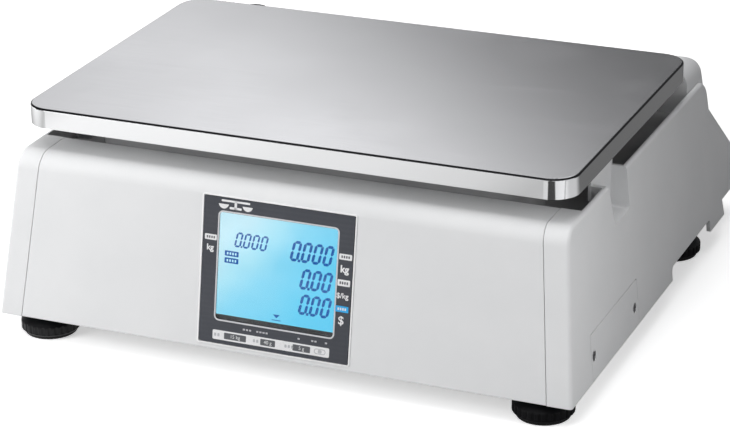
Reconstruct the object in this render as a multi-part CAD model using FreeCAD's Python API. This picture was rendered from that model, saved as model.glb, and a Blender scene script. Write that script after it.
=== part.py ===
import FreeCAD, Part
import math
import os

os.makedirs("parts", exist_ok=True)
V = FreeCAD.Vector

# ---- driving dimensions, millimetres and degrees ---------------------------------------------
# X runs along the customer's side, +Y towards the operator, +Z up from the counter.
# Heights named *_H are measured from the housing's bottom edge, which stands LIFT above the counter.
LIFT = 17.0
WIDTH = 402.0
FRONT = -195.2
REAR = 195.2
SIDE_LEAN = 5.45
FRONT_LEAN = 10.2
WALL = 3.0
RIM_H = 110.0
FRONT_ROUND = 13.0
CORNER_ROUND = 2.4
SEAM_INSET = 16.5
SEAM_GAP = 0.4
LEDGE_END = -142.0

PAN_WIDTH = 380.0
PAN_DEPTH = 250.0
PAN_Y = -45.0
PAN_TOP_H = 139.5
PAN_SKIRT = 13.5
PAN_CORNER = 18.0
PAN_SHEET = 1.5

ARCH_Y = (17.0, 109.0)
ARCH_H = 9.5
NOTCH = [(-99.0, RIM_H + 5, 0), (-91.0, 81.5, 2), (-60.6, 81.5, 2), (-61.0, RIM_H + 5, 0)]
NOTCH_BACK_X = 180.0
COVER_Y = (-153.0, -58.0)
COVER_H = 31.5

DECK_H = 95.0
PLATEAU_X = 150.0
PLATEAU_REAR = 72.0
PLATEAU_H = 124.0

RIDGE_FRONT = 84.0
RIDGE_H = 127.0
SLOPE_TOP = (126.0, 88.9)
SLOPE_END = (191.0, 32.1)
CONSOLE_INSET = WALL + 0.4
CONSOLE_FOOT_H = 8.0

FOOT_X = 175.0
FOOT_Y = (-173.0, 102.0)
FOOT_R = 20.0
STUD_R = 3.95
THREAD_R = 4.05
SOLE_T = 2.5

BEZEL = (104.6, 96.4)
BEZEL_CENTRE = (-1.2, 52.9)
WINDOW = (82.0, 70.4)
WINDOW_CENTRE = (-1.1, 56.2)

POST_X = 125.0
POST_Y = 75.0
CELL_HALF = 65.0
CELL_TOP_H = 44.0

# Sockets and switch in the left wall: centre and size in the wall's own frame, whose x is minus Y.
INLET = (-24.0, 46.0, 28.0, 20.0)
SWITCH = (-66.0, 46.0, 22.0, 15.0)
PORTS = (18.0, 46.0, 40.0, 16.0)

# Base tray; the battery door is given by its edges: left, right, front, rear.
TRAY_X = 192.8
TRAY_Y = (-189.5, 191.4)
TRAY_H = 5.0
TRAY_RIM_H = 12.0
DOOR = (-146.0, -46.0, 44.0, 104.0)
DOOR_TRAVEL = 44.0
SCREW_PLACES = [(150, -180), (182, -60), (182, 60), (182, 178), (60, 183)]
SCREW_SPOTS = [(side * x, y) for side in (-1, 1) for x, y in SCREW_PLACES]
STOP_REACH = (95.0, 56.0)
CELL_SCREW_Y = (-7.0, 7.0)
M6_HOLE_R = 3.05
LEVEL_PLACE = (-150.0, 103.0)

OVERLAY = (352.0, 74.0)
OP_WINDOW_X = 118.0
OP_LENS = (92.0, 58.0)
KEY_BLOCK_X = -78.0
KEY_PITCH = (17.0, 16.5)
KEY_CAP = (14.0, 12.5)
KEY_GAP = 0.3
KEY_NAMES = [
    ["key_7", "key_8", "key_9"],
    ["key_4", "key_5", "key_6"],
    ["key_1", "key_2", "key_3"],
    ["key_0", "key_00", "key_clear"],
]
PRESET_X = 10.0
PRESET_GRID = (6, 5)
PRESET_PITCH = (16.0, 13.5)
PRESET_PAD = (13.2, 10.4)
FUNCTION_X = -141.0
FUNCTION_GRID = (3, 4)
FUNCTION_PITCH = (19.0, 16.5)
FUNCTION_PAD = (16.0, 12.5)


# ---- building blocks ---------------------------------------------------------------------------
def save(name, shape):
    """Writes one node, after a check that it is sound."""
    if not shape.isValid() or shape.Volume <= 0:
        raise RuntimeError(name + " isn't a sound solid")
    shape.exportStep("parts/" + name + ".step")


def outline(points, place):
    """A closed face through (a, b, radius) corners, each rounded by an arc of its radius."""
    ends = []
    for i, (a, b, r) in enumerate(points):
        here = V(a, b, 0)
        back = V(*points[i - 1][:2], 0) - here
        on = V(*points[(i + 1) % len(points)][:2], 0) - here
        back.normalize()
        on.normalize()
        if r <= 0:
            ends.append((here, None, here))
            continue
        half = back.getAngle(on) / 2
        reach = r / math.tan(half)
        middle = (back + on).normalize()
        centre = here + middle * (r / math.sin(half))
        ends.append((here + back * reach, centre - middle * r, here + on * reach))
    edges = []
    for i, (start, mid, end) in enumerate(ends):
        if mid is not None:
            edges.append(Part.Arc(place(start), place(mid), place(end)).toShape())
        following = ends[(i + 1) % len(ends)][0]
        if (following - end).Length > 1e-6:
            edges.append(Part.LineSegment(place(end), place(following)).toShape())
    return Part.Face(Part.Wire(edges))


def along_x(points, x0, x1):
    """A (y, height) outline pushed along X."""
    face = outline(points, lambda p: V(x0, p.x, LIFT + p.y))
    return face.extrude(V(x1 - x0, 0, 0))


def along_y(points, y0, y1):
    """An (x, height) outline pushed along Y."""
    face = outline(points, lambda p: V(p.x, y0, LIFT + p.y))
    return face.extrude(V(0, y1 - y0, 0))


def upright(points, h0, h1):
    """An (x, y) outline pushed up from one height to another."""
    face = outline(points, lambda p: V(p.x, p.y, LIFT + h0))
    return face.extrude(V(0, 0, h1 - h0))


def rectangle(cx, cy, width, depth, r=0.0):
    w = width / 2
    d = depth / 2
    return [(cx - w, cy - d, r), (cx + w, cy - d, r), (cx + w, cy + d, r), (cx - w, cy + d, r)]


def block(x0, x1, y0, y1, h0, h1):
    return Part.makeBox(x1 - x0, y1 - y0, h1 - h0, V(x0, y0, LIFT + h0))


def rod(x, y, h0, h1, r):
    return Part.makeCylinder(r, h1 - h0, V(x, y, LIFT + h0))


def plate(cx, cy, width, depth, z0, z1, r=0.0):
    """A flat slab in a panel's own frame: x across, y along the panel, z out of its face."""
    face = outline(rectangle(cx, cy, width, depth, r), lambda p: V(p.x, p.y, z0))
    return face.extrude(V(0, 0, z1 - z0))


def disc(cx, cy, z0, z1, r):
    return Part.makeCylinder(r, z1 - z0, V(cx, cy, z0))


def set_on(shape, placement):
    """Takes a shape from a panel's own frame to its place on the scale."""
    moved = shape.copy()
    moved.transformShape(placement.toMatrix(), True)
    return moved


def together(shapes):
    return shapes[0].multiFuse(shapes[1:]).removeSplitter() if len(shapes) > 1 else shapes[0]


def round_edges(shape, r, pick):
    return shape.makeFillet(r, [e for e in shape.Edges if pick(e.BoundBox, e)])


def half_width(h, inset=0.0):
    """Half the housing's width at a height, its leaning sides moved inwards by inset."""
    lean = math.radians(SIDE_LEAN)
    return WIDTH / 2 - h * math.tan(lean) - inset / math.cos(lean)


def between_sides(inset, h0=-20.0, h1=160.0, top_round=0.0):
    """Everything between the two leaning sides moved inwards by inset."""
    corners = [
        (-half_width(h0, inset), h0, 0),
        (half_width(h0, inset), h0, 0),
        (half_width(h1, inset), h1, top_round),
        (-half_width(h1, inset), h1, top_round),
    ]
    return along_y(corners, FRONT - 20, REAR + 20)


def front_y(h, inset=0.0):
    lean = math.radians(FRONT_LEAN)
    return FRONT + h * math.tan(lean) + inset / math.cos(lean)


def frame_at(origin, across, along):
    """A panel frame from its centre, its across direction and its along direction."""
    out = across.cross(along)
    return FreeCAD.Placement(origin, FreeCAD.Rotation(across, along, out, "ZXY"))


# Frames of the leaning front, the operator's slope and the left side wall.
tilt = math.radians(FRONT_LEAN)
front_frame = frame_at(V(0, FRONT, LIFT), V(1, 0, 0), V(0, math.sin(tilt), math.cos(tilt)))
slope_run = V(0, SLOPE_END[0] - SLOPE_TOP[0], SLOPE_END[1] - SLOPE_TOP[1]).normalize()
slope_middle = V(0, (SLOPE_TOP[0] + SLOPE_END[0]) / 2, LIFT + (SLOPE_TOP[1] + SLOPE_END[1]) / 2)
slope_frame = frame_at(slope_middle, V(1, 0, 0), slope_run)
lean = math.radians(SIDE_LEAN)
left_frame = frame_at(
    V(-WIDTH / 2, 0, LIFT), V(0, -1, 0), V(math.sin(lean), 0, math.cos(lean))
)
feet = [
    (side + "_" + end, x, y)
    for end, y in (("front", FOOT_Y[0]), ("rear", FOOT_Y[1]))
    for side, x in (("left", -FOOT_X), ("right", FOOT_X))
]


# ---- side panels: leaning walls with a strip of the front, finger notches and foot arches ------
def wall_outline():
    """A side wall's (y, height) outline, before its foot arch is cut."""
    return [
        (front_y(0), 0, 0),
        (front_y(RIM_H), RIM_H, FRONT_ROUND),
        (120.0, RIM_H, 15),
        (124.0, 86.0, 8),
        (140.7, 21.6, 20),
        (146.0, 0, 0),
    ]


def side_panels():
    hull = along_x(wall_outline(), -WIDTH, WIDTH).common(between_sides(0))
    # One smooth rounding runs up each front corner, over the top and down the rear edge.
    hull = round_edges(
        hull,
        CORNER_ROUND,
        lambda b, e: b.YLength > 1 and b.XLength < 30 and b.ZMax > LIFT + 1,
    )
    arch = along_x(
        [(ARCH_Y[0], -5, 0), (ARCH_Y[0], ARCH_H, 4), (ARCH_Y[1], ARCH_H, 4), (ARCH_Y[1], -5, 0)],
        -WIDTH,
        WIDTH,
    )
    hollow = along_x(
        [
            (front_y(-5, WALL), -5, 0),
            (front_y(RIM_H - WALL, WALL), RIM_H - WALL, FRONT_ROUND - WALL),
            (LEDGE_END, RIM_H - WALL, 0),
            (LEDGE_END, RIM_H + 20, 0),
            (REAR, RIM_H + 20, 0),
            (REAR, -5, 0),
        ],
        -WIDTH,
        WIDTH,
    ).common(between_sides(WALL))
    shell = hull.cut(arch).cut(hollow).cut(between_sides(SEAM_INSET - SEAM_GAP / 2))
    panels = {}
    for side, sign in (("left", -1), ("right", 1)):
        half = block(0, WIDTH, FRONT - 10, REAR + 10, -10, RIM_H + 10)
        if sign < 0:
            half = half.mirror(V(0, 0, 0), V(1, 0, 0))
        panel = shell.common(half)
        # The finger notch opens through the rim into a pocket with its own back wall.
        reach = (NOTCH_BACK_X, WIDTH) if sign > 0 else (-WIDTH, -NOTCH_BACK_X)
        inner = (NOTCH_BACK_X - 2, 195) if sign > 0 else (-195, -NOTCH_BACK_X + 2)
        pocket_box = along_x(
            [(-101.5, RIM_H, 0), (-94, 79, 3), (-58.4, 79, 3), (-58.4, RIM_H, 0)], *inner
        )
        back_x = (NOTCH_BACK_X - 2, NOTCH_BACK_X) if sign > 0 else (-NOTCH_BACK_X, -NOTCH_BACK_X + 2)
        back_wall = block(*back_x, -101.5, -58.4, 100, RIM_H + 10)
        pocket = pocket_box.fuse(back_wall).common(between_sides(WALL - 0.5))
        panel = panel.fuse(pocket).cut(along_x(NOTCH, *reach))
        panels[side] = panel.removeSplitter()
    return panels


panels = side_panels()
left_panel = panels["left"]
right_panel = panels["right"]

# The access cover closes an opening low in the right wall and is held by two screws.
cover_edge = [(COVER_Y[0], -5, 0), (COVER_Y[0], COVER_H, 2), (COVER_Y[1], COVER_H, 2), (COVER_Y[1], -5, 0)]
grown_edge = [
    (COVER_Y[0] - SEAM_GAP, -5, 0),
    (COVER_Y[0] - SEAM_GAP, COVER_H + SEAM_GAP, 2),
    (COVER_Y[1] + SEAM_GAP, COVER_H + SEAM_GAP, 2),
    (COVER_Y[1] + SEAM_GAP, -5, 0),
]
side_cover = right_panel.common(along_x(cover_edge, 150, WIDTH))
right_panel = right_panel.cut(along_x(grown_edge, 150, WIDTH))
right_frame = frame_at(
    V(WIDTH / 2, 0, LIFT), V(0, 1, 0), V(-math.sin(lean), 0, math.cos(lean))
)
cover_screws = []
for y, h in ((-148.0, 16.0), (-65.0, 14.0)):
    hole = disc(y, h, -WALL - 1, 1, 1.8).fuse(disc(y, h, -1.6, 1, 3.4))
    side_cover = side_cover.cut(set_on(hole, right_frame))
    screw = disc(y, h, -5, -1.5, 1.6).fuse(disc(y, h, -1.5, -0.2, 3.1))
    cross = plate(y, h, 3.6, 0.8, -0.9, 1).fuse(plate(y, h, 0.8, 3.6, -0.9, 1))
    cover_screws.append(set_on(screw.cut(cross), right_frame))
save("right_side_panel", right_panel)
save("side_cover", side_cover)
save("side_cover_screws", Part.makeCompound(cover_screws))

# Cut-outs for the sockets and the switch in the left wall.
for cx, cy, width, depth in (INLET, SWITCH, PORTS):
    cutter = plate(cx, cy, width + 0.6, depth + 0.6, -10, 5, 1.5)
    left_panel = left_panel.cut(set_on(cutter, left_frame))
save("left_side_panel", left_panel)


# ---- sockets and switch in the left wall --------------------------------------------------------
def flanged(cx, cy, width, depth, back):
    body = plate(cx, cy, width, depth, back, 0.1, 1.2)
    return body.fuse(plate(cx, cy, width + 5, depth + 5, 0.1, 1.6, 2.5))


cx, cy, width, depth = INLET
inlet = flanged(cx, cy, width, depth, -26)
inlet = inlet.cut(plate(cx, cy, width - 6, depth - 7, -18, 5, 3))
for dx in (-5.0, 5.0):
    inlet = inlet.fuse(disc(cx + dx, cy, -20, -6, 1.2))
save("power_inlet", set_on(inlet, left_frame))

cx, cy, width, depth = SWITCH
switch_frame = flanged(cx, cy, width, depth, -14)
switch_frame = switch_frame.cut(plate(cx, cy, width - 3, depth - 3.4, -12, 5, 0.8))
for side in (-1, 1):
    stub = Part.makeCylinder(
        1.0, 2.2, V(cx, cy + side * (depth / 2 - 0.6), -3.2), V(0, -side, 0)
    )
    switch_frame = switch_frame.fuse(stub)
save("switch_frame", set_on(switch_frame.removeSplitter(), left_frame))

# The rocker turns on the frame's two stubs. Its raised end is set back, so that it clears the frame
# as it swings down; no corner is further from the stubs than the frame's inner walls.
rocker_half = width / 2 - 2.1
rocker_depth = depth - 3.4 - 0.6
rocker_side = [
    (-rocker_half, -2.2, 0.6),
    (-rocker_half + 2.0, 3.1, 0.8),
    (0, 0.9, 12),
    (rocker_half, 0.6, 0.8),
    (rocker_half, -2.2, 0.6),
    (0, -7.0, 3),
]
face = outline(rocker_side, lambda p: V(cx + p.x, cy - rocker_depth / 2, p.y))
rocker = face.extrude(V(0, rocker_depth, 0))
rocker = rocker.cut(Part.makeCylinder(1.08, 40, V(cx, cy - 20, -3.2), V(0, 1, 0)))
save("power_rocker", set_on(rocker, left_frame))

cx, cy, width, depth = PORTS
ports = flanged(cx, cy, width, depth, -16)
for dx, w, d in ((-10.0, 12.0, 6.0), (9.0, 13.0, 10.0)):
    ports = ports.cut(plate(cx + dx, cy, w, d, -12, 5, 0.8))
ports = ports.fuse(plate(cx - 10, cy, 9.0, 1.6, -14, -3))
save("data_ports", set_on(ports, left_frame))


# ---- front panel with the customer's display -----------------------------------------------------
def front_panel_shape():
    strip = along_x(
        [
            (front_y(0), 0, 0.6),
            (front_y(RIM_H), RIM_H, FRONT_ROUND),
            (LEDGE_END, RIM_H, 0.8),
            (LEDGE_END, RIM_H - WALL, 0),
            (front_y(RIM_H - WALL, WALL), RIM_H - WALL, FRONT_ROUND - WALL),
            (front_y(0, WALL), 0, 0),
        ],
        -WIDTH,
        WIDTH,
    )
    panel = strip.common(between_sides(SEAM_INSET + SEAM_GAP / 2))
    recess = plate(*BEZEL_CENTRE, BEZEL[0] + 0.6, BEZEL[1] + 0.6, -0.9, 5, 1.1)
    window = plate(*WINDOW_CENTRE, WINDOW[0] + 2.7, WINDOW[1] + 2.5, -10, 5, 2)
    return panel.cut(set_on(recess, front_frame)).cut(set_on(window, front_frame))


save("front_panel", front_panel_shape())
bezel = plate(*BEZEL_CENTRE, *BEZEL, -0.9, 0.6, 0.9)
bezel = bezel.cut(plate(*WINDOW_CENTRE, WINDOW[0] + 0.3, WINDOW[1] + 0.3, -5, 5, 2))
save("customer_bezel", set_on(bezel, front_frame))
save("customer_lens", set_on(plate(*WINDOW_CENTRE, *WINDOW, -0.9, 0.3, 1.9), front_frame))
lcd = plate(*WINDOW_CENTRE, 94, 82, -6.0, -3.2)
save("customer_lcd", set_on(lcd, front_frame))
backlight = plate(*WINDOW_CENTRE, 94, 82, -12.0, -6.2, 2)
save("customer_backlight", set_on(backlight, front_frame))


def circuit_board(cx, cy, width, depth, z, parts, holes=True):
    """A board with its components; parts lists (dx, dy, width, depth, height)."""
    board = plate(cx, cy, width, depth, z, z + 1.6, 2)
    if holes:
        for sx in (-1, 1):
            for sy in (-1, 1):
                spot = (cx + sx * (width / 2 - 5), cy + sy * (depth / 2 - 5))
                board = board.cut(disc(*spot, z - 1, z + 3, 1.7))
    pieces = [board]
    for dx, dy, w, d, tall in parts:
        low, high = (z + tall, z) if tall < 0 else (z + 1.6, z + 1.6 + tall)
        pieces.append(plate(cx + dx, cy + dy, w, d, low, high))
    return together(pieces)


board = circuit_board(
    *WINDOW_CENTRE, 100, 88, -14.2, [(0, 10, 18, 18, -2.2), (-30, -20, 10, 7, -2.5), (28, -28, 22, 6, -6)]
)
save("customer_board", set_on(board, front_frame))


# ---- top deck under the pan ----------------------------------------------------------------------
def top_deck_shape():
    deck_rear = RIDGE_FRONT - 0.4
    deck_front = LEDGE_END + 0.4
    floor = block(-187, 187, deck_front, deck_rear, DECK_H - WALL, DECK_H)
    corners = [
        (-PLATEAU_X, deck_front, 15),
        (PLATEAU_X, deck_front, 15),
        (PLATEAU_X, PLATEAU_REAR, 15),
        (-PLATEAU_X, PLATEAU_REAR, 15),
    ]
    plateau = upright(corners, DECK_H - WALL, PLATEAU_H)
    plateau = round_edges(plateau, 3, lambda b, e: b.ZMin > LIFT + PLATEAU_H - 1)
    inner = [
        (-PLATEAU_X + WALL, deck_front + WALL, 12),
        (PLATEAU_X - WALL, deck_front + WALL, 12),
        (PLATEAU_X - WALL, PLATEAU_REAR - WALL, 12),
        (-PLATEAU_X + WALL, PLATEAU_REAR - WALL, 12),
    ]
    under = upright(inner, DECK_H - WALL - 5, PLATEAU_H - WALL)
    lips = block(-185, 185, deck_front, deck_front + 2, DECK_H - WALL, RIM_H - WALL - 0.3)
    deck = together([floor, plateau, lips]).cut(under)
    for sx in (-1, 1):
        for sy in (-1, 1):
            deck = deck.cut(rod(sx * POST_X, PAN_Y + sy * POST_Y, 80, 140, 13))
        near = NOTCH_BACK_X - 3.5
        edge = (near, 200) if sx > 0 else (-200, -near)
        deck = deck.cut(block(*edge, -104, -56, 80, 120))
    return deck


save("top_deck", top_deck_shape())


# ---- operator's console ---------------------------------------------------------------------------
def slope_h(y, drop=0.0):
    fall = (SLOPE_TOP[1] - SLOPE_END[1]) / (SLOPE_END[0] - SLOPE_TOP[0])
    return SLOPE_TOP[1] - fall * (y - SLOPE_TOP[0]) - drop * math.hypot(1, fall)


def key_places():
    """Each key's name and its centre in the slope's frame."""
    for row, names in enumerate(KEY_NAMES):
        for column, name in enumerate(names):
            x = KEY_BLOCK_X - (column - 1) * KEY_PITCH[0]
            yield name, x, (row - 1.5) * KEY_PITCH[1]


def grid(centre_x, counts, pitch):
    for row in range(counts[1]):
        for column in range(counts[0]):
            x = centre_x + (column - (counts[0] - 1) / 2) * pitch[0]
            yield x, (row - (counts[1] - 1) / 2) * pitch[1]


def console_shape():
    outer = along_x(
        [
            (RIDGE_FRONT, CONSOLE_FOOT_H, 0),
            (RIDGE_FRONT, DECK_H, 0),
            (88.0, RIDGE_H, 7),
            (118.0, RIDGE_H, 9),
            (SLOPE_TOP[0], SLOPE_TOP[1], 4),
            (SLOPE_END[0], SLOPE_END[1], 7),
            (REAR, 10.0, 1),
            (REAR, CONSOLE_FOOT_H, 0),
        ],
        -WIDTH,
        WIDTH,
    ).common(between_sides(CONSOLE_INSET, -20, RIDGE_H, 14))
    inner = along_x(
        [
            (50.0, -5, 0),
            (50.0, DECK_H - WALL, 0),
            (RIDGE_FRONT + WALL, DECK_H - WALL, 0),
            (88.0 + WALL, RIDGE_H - WALL, 4),
            (115.5, RIDGE_H - WALL, 6),
            (123.2, slope_h(123.2, WALL), 1),
            (188.4, slope_h(188.4, WALL), 4),
            (REAR - WALL, 10.0, 0),
            (REAR - WALL, -5, 0),
        ],
        -WIDTH,
        WIDTH,
    ).common(between_sides(CONSOLE_INSET + WALL, -20, RIDGE_H - WALL, 11))
    shell = outer.cut(inner)
    cuts = [plate(0, 0, OVERLAY[0] + 0.6, OVERLAY[1] + 0.6, -0.6, 6, 4)]
    cuts.append(plate(OP_WINDOW_X, 0, OP_LENS[0] - 8, OP_LENS[1] - 8, -10, 6, 2))
    for _, x, y in key_places():
        hole = (KEY_CAP[0] + 2 * KEY_GAP, KEY_CAP[1] + 2 * KEY_GAP)
        cuts.append(plate(x, y, *hole, -10, 6, 1.8))
    shell = shell.cut([set_on(c, slope_frame) for c in cuts])
    return shell.cut(rod(*LEVEL_PLACE, RIDGE_H - 17, RIDGE_H + 3, 9.2))


save("console_shell", console_shape())

overlay = plate(0, 0, *OVERLAY, -0.6, 0.2, 3.7)
pads = [plate(x, y, *PRESET_PAD, 0.1, 0.6, 1.6) for x, y in grid(PRESET_X, PRESET_GRID, PRESET_PITCH)]
pads += [
    plate(x, y, *FUNCTION_PAD, 0.1, 0.7, 1.8) for x, y in grid(FUNCTION_X, FUNCTION_GRID, FUNCTION_PITCH)
]
holes = [plate(OP_WINDOW_X, 0, OP_LENS[0] + 0.6, OP_LENS[1] + 0.6, -5, 5, 2.3)]
holes += [
    plate(x, y, KEY_CAP[0] + 2 * KEY_GAP, KEY_CAP[1] + 2 * KEY_GAP, -5, 5, 1.8) for _, x, y in key_places()
]
overlay = overlay.multiFuse(pads).cut(holes)
save("console_overlay", set_on(overlay, slope_frame))
save("operator_lens", set_on(plate(OP_WINDOW_X, 0, *OP_LENS, -0.6, 0.4, 2), slope_frame))
save("operator_lcd", set_on(plate(OP_WINDOW_X, 0, 94, 60, -6.2, -3.4), slope_frame))
save("operator_backlight", set_on(plate(OP_WINDOW_X, 0, 94, 60, -12.4, -6.4, 2), slope_frame))

# Each key is a cap above the panel and a flange that stops it under the panel.
for name, x, y in key_places():
    cap = plate(x, y, *KEY_CAP, -3.4, 3.2, 1.5)
    cap = cap.makeFillet(0.9, [e for e in cap.Edges if e.BoundBox.ZMin > 3.1])
    flange = plate(x, y, KEY_CAP[0] + 2.2, KEY_CAP[1] + 2.6, -4.8, -3.4, 2)
    save(name, set_on(cap.fuse(flange).removeSplitter(), slope_frame))
mat = plate(KEY_BLOCK_X, 0, 56, 68, -9.6, -8.8, 2)
mat = mat.multiFuse([disc(x, y, -9, -6.8, 4) for _, x, y in key_places()])
save("key_mat", set_on(mat, slope_frame))
board = circuit_board(KEY_BLOCK_X, 0, 62, 72, -11.4, [(0, 0, 24, 5, -3), (18, 12, 7, 7, -1.5)], False)
save("keypad_board", set_on(board, slope_frame))

# A round spirit level set in the ridge.
cup = rod(*LEVEL_PLACE, RIDGE_H - 8, RIDGE_H + 0.2, 9.0)
cup = cup.fuse(rod(*LEVEL_PLACE, RIDGE_H, RIDGE_H + 1, 10.5))
cup = cup.cut(rod(*LEVEL_PLACE, RIDGE_H - 6.5, RIDGE_H + 5, 7.6))
save("level_cup", cup.removeSplitter())
vial = rod(*LEVEL_PLACE, RIDGE_H - 6.4, RIDGE_H + 0.6, 7.5)
save("level_vial", vial)


# ---- base tray -----------------------------------------------------------------------------------
def base_tray_shape():
    middle = (TRAY_Y[0] + TRAY_Y[1]) / 2
    deep = TRAY_Y[1] - TRAY_Y[0]
    tray = upright(rectangle(0, middle, 2 * TRAY_X, deep, 6), TRAY_H, TRAY_RIM_H)
    tray = tray.cut(upright(rectangle(0, middle, 2 * TRAY_X - 5, deep - 5, 4), TRAY_H + 3, 30))
    adds = []
    cuts = []
    for _, x, y in feet:
        adds.append(rod(x, y, 1.5, 17, 13))
        cuts.append(rod(x, y, 0, 20, 7.05))
    for x, y in SCREW_SPOTS:
        adds.append(rod(x, y, TRAY_H, TRAY_RIM_H + 3, 4.5))
        cuts.append(rod(x, y, 0, 30, 2.1))
    for y in (-140, -125, 20, 60):
        adds.append(block(-190.5, 190.5, y - 1, y + 1, TRAY_H + 2, TRAY_RIM_H))
    for x in (-70, 70):
        adds.append(block(x - 1, x + 1, -188, 42, TRAY_H + 2, TRAY_RIM_H))
    # Rails under the floor guide the battery door; the opening above it lets the pack out.
    x0, x1, y0, y1 = DOOR
    for x in (x0, x1):
        out = -1 if x == x0 else 1
        web = sorted((x + out * 0.4, x + out * 2.4))
        lip = sorted((x - out * 1.2, x + out * 2.4))
        adds.append(block(*web, y0, y1 + DOOR_TRAVEL + 2, 1.2, TRAY_H + 1))
        adds.append(block(*lip, y0, y1 + DOOR_TRAVEL + 2, 0.4, 1.6))
    cuts.append(block(x0 + 5, x1 - 5, y0 + 5, y1 - 5, 0, 30))
    for y in CELL_SCREW_Y:
        adds.append(rod(-50, PAN_Y + y, TRAY_H, TRAY_H + 3, 5))
        cuts.append(rod(-50, PAN_Y + y, 0, 30, M6_HOLE_R))
    for sx in (-1, 1):
        for sy in (-1, 1):
            cuts.append(rod(sx * STOP_REACH[0], PAN_Y + sy * STOP_REACH[1], 0, 30, M6_HOLE_R))
    return tray.multiFuse(adds).cut(cuts).removeSplitter()


save("base_tray", base_tray_shape())
x0, x1, y0, y1 = DOOR
door = upright(rectangle((x0 + x1) / 2, (y0 + y1) / 2, x1 - x0, y1 - y0, 2), 1.8, 4.6)
middle = (x0 + x1) / 2
grips = [block(middle - 14, middle + 14, y1 - 8 - 3 * i, y1 - 6.8 - 3 * i, 1.2, 2) for i in range(4)]
save("battery_door", door.multiFuse(grips).removeSplitter())
pack = upright(rectangle(-96, 74, 84, 44, 3), 8.4, 60)
terminals = [block(-130 + d, -126 + d, 60, 66, 59, 64) for d in (0, 60)]
save("battery_pack", pack.multiFuse(terminals).removeSplitter())

inserts = [
    rod(x, y, 1.6, 17, 7.0).fuse(rod(x, y, 17, 18, 9)).cut(rod(x, y, -5, 40, THREAD_R)) for _, x, y in feet
]
save("foot_inserts", Part.makeCompound(inserts))
screws = []
for x, y in SCREW_SPOTS:
    screw = rod(x, y, TRAY_H - 0.4, TRAY_RIM_H + 3, 2.0).fuse(rod(x, y, TRAY_H - 2.4, TRAY_H - 0.1, 3.6))
    cross = block(x - 2, x + 2, y - 0.4, y + 0.4, 0, TRAY_H - 1.2)
    screws.append(screw.cut(cross.fuse(block(x - 0.4, x + 0.4, y - 2, y + 2, 0, TRAY_H - 1.2))))
save("housing_screws", Part.makeCompound(screws))


# ---- levelling feet ------------------------------------------------------------------------------
def foot_knob(x, y):
    """A grip disc with a domed shoulder on an M8 stud."""
    top = LIFT - 2.0
    half = [
        (0, SOLE_T + 0.1, 0),
        (FOOT_R - 1.2, SOLE_T + 0.1, 0),
        (FOOT_R, SOLE_T + 1.3, 0),
        (FOOT_R, SOLE_T + 6.5, 1.0),
        (FOOT_R - 2.5, SOLE_T + 8.6, 4.0),
        (11.0, top, 1.5),
        (0, top, 0),
    ]
    face = outline(half, lambda p: V(x + p.x, y, p.y))
    knob = face.revolve(V(x, y, 0), V(0, 0, 1), 360)
    flutes = 28
    for i in range(flutes):
        turn = 2 * math.pi * i / flutes
        spot = V(x + (FOOT_R + 0.9) * math.cos(turn), y + (FOOT_R + 0.9) * math.sin(turn), SOLE_T + 1.4)
        knob = knob.cut(Part.makeCylinder(1.5, 6.2, spot))
    stud = Part.makeCylinder(STUD_R, 30, V(x, y, top - 1))
    return knob.fuse(stud).removeSplitter()


for name, x, y in feet:
    save("foot_knob_" + name, foot_knob(x, y))
    sole = Part.makeCylinder(FOOT_R - 2.5, SOLE_T, V(x, y, 0))
    save("foot_sole_" + name, sole.makeFillet(0.6, [e for e in sole.Edges if e.BoundBox.ZMax < 0.1]))


# ---- weighing mechanism --------------------------------------------------------------------------
def load_cell_shape():
    cell = block(-CELL_HALF, CELL_HALF, PAN_Y - 15, PAN_Y + 15, 18, CELL_TOP_H)
    for x in (-12, 12):
        cell = cell.cut(Part.makeCylinder(9.5, 40, V(x, PAN_Y - 20, LIFT + 31), V(0, 1, 0)))
    cell = cell.cut(block(-12, 12, PAN_Y - 20, PAN_Y + 20, 27, 35))
    for y in CELL_SCREW_Y:
        cell = cell.cut(rod(-50, PAN_Y + y, 10, 34, M6_HOLE_R))
        cell = cell.cut(rod(50, PAN_Y + y, 30, 50, M6_HOLE_R))
    return cell


save("load_cell", load_cell_shape())
base_block = block(-CELL_HALF, -36, PAN_Y - 14, PAN_Y + 14, 8, 18)
for y in CELL_SCREW_Y:
    base_block = base_block.cut(rod(-50, PAN_Y + y, 0, 30, M6_HOLE_R))
save("load_cell_base_block", base_block)
top_block = block(36, CELL_HALF, PAN_Y - 14, PAN_Y + 14, CELL_TOP_H, CELL_TOP_H + 10)
for y in CELL_SCREW_Y:
    top_block = top_block.cut(rod(50, PAN_Y + y, 40, 60, M6_HOLE_R))
save("load_cell_top_block", top_block)
cell_screws = [
    rod(-50, PAN_Y + y, 3.2, 33, 2.95).fuse(rod(-50, PAN_Y + y, 1.2, 4.9, 5)) for y in CELL_SCREW_Y
]
save("load_cell_screws", Part.makeCompound(cell_screws))


def weigh_platform_shape():
    low = CELL_TOP_H + 10
    hub = upright(rectangle(5, PAN_Y, 140, 70, 12), low, low + 6)
    pieces = [hub]
    for sx in (-1, 1):
        for sy in (-1, 1):
            post = (sx * POST_X, PAN_Y + sy * POST_Y)
            pieces.append(rod(*post, low, 130, 8))
            pieces.append(rod(*post, low, low + 8, 14))
            start = V(sx * 30, PAN_Y + sy * 10, 0)
            run = V(*post, 0) - start
            side = V(-run.y, run.x, 0).normalize()
            for wide, h0, h1 in ((11, low, low + 6), (2, low + 5, low + 14)):
                a, b = start + side * wide, start - side * wide
                c, d = b + run, a + run
                corners = [(p.x, p.y, 0) for p in (a, b, c, d)]
                pieces.append(upright(corners, h0, h1))
    frame = together(pieces)
    for y in CELL_SCREW_Y:
        frame = frame.cut(rod(50, PAN_Y + y, low - 5, low + 20, M6_HOLE_R))
    return frame


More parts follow.
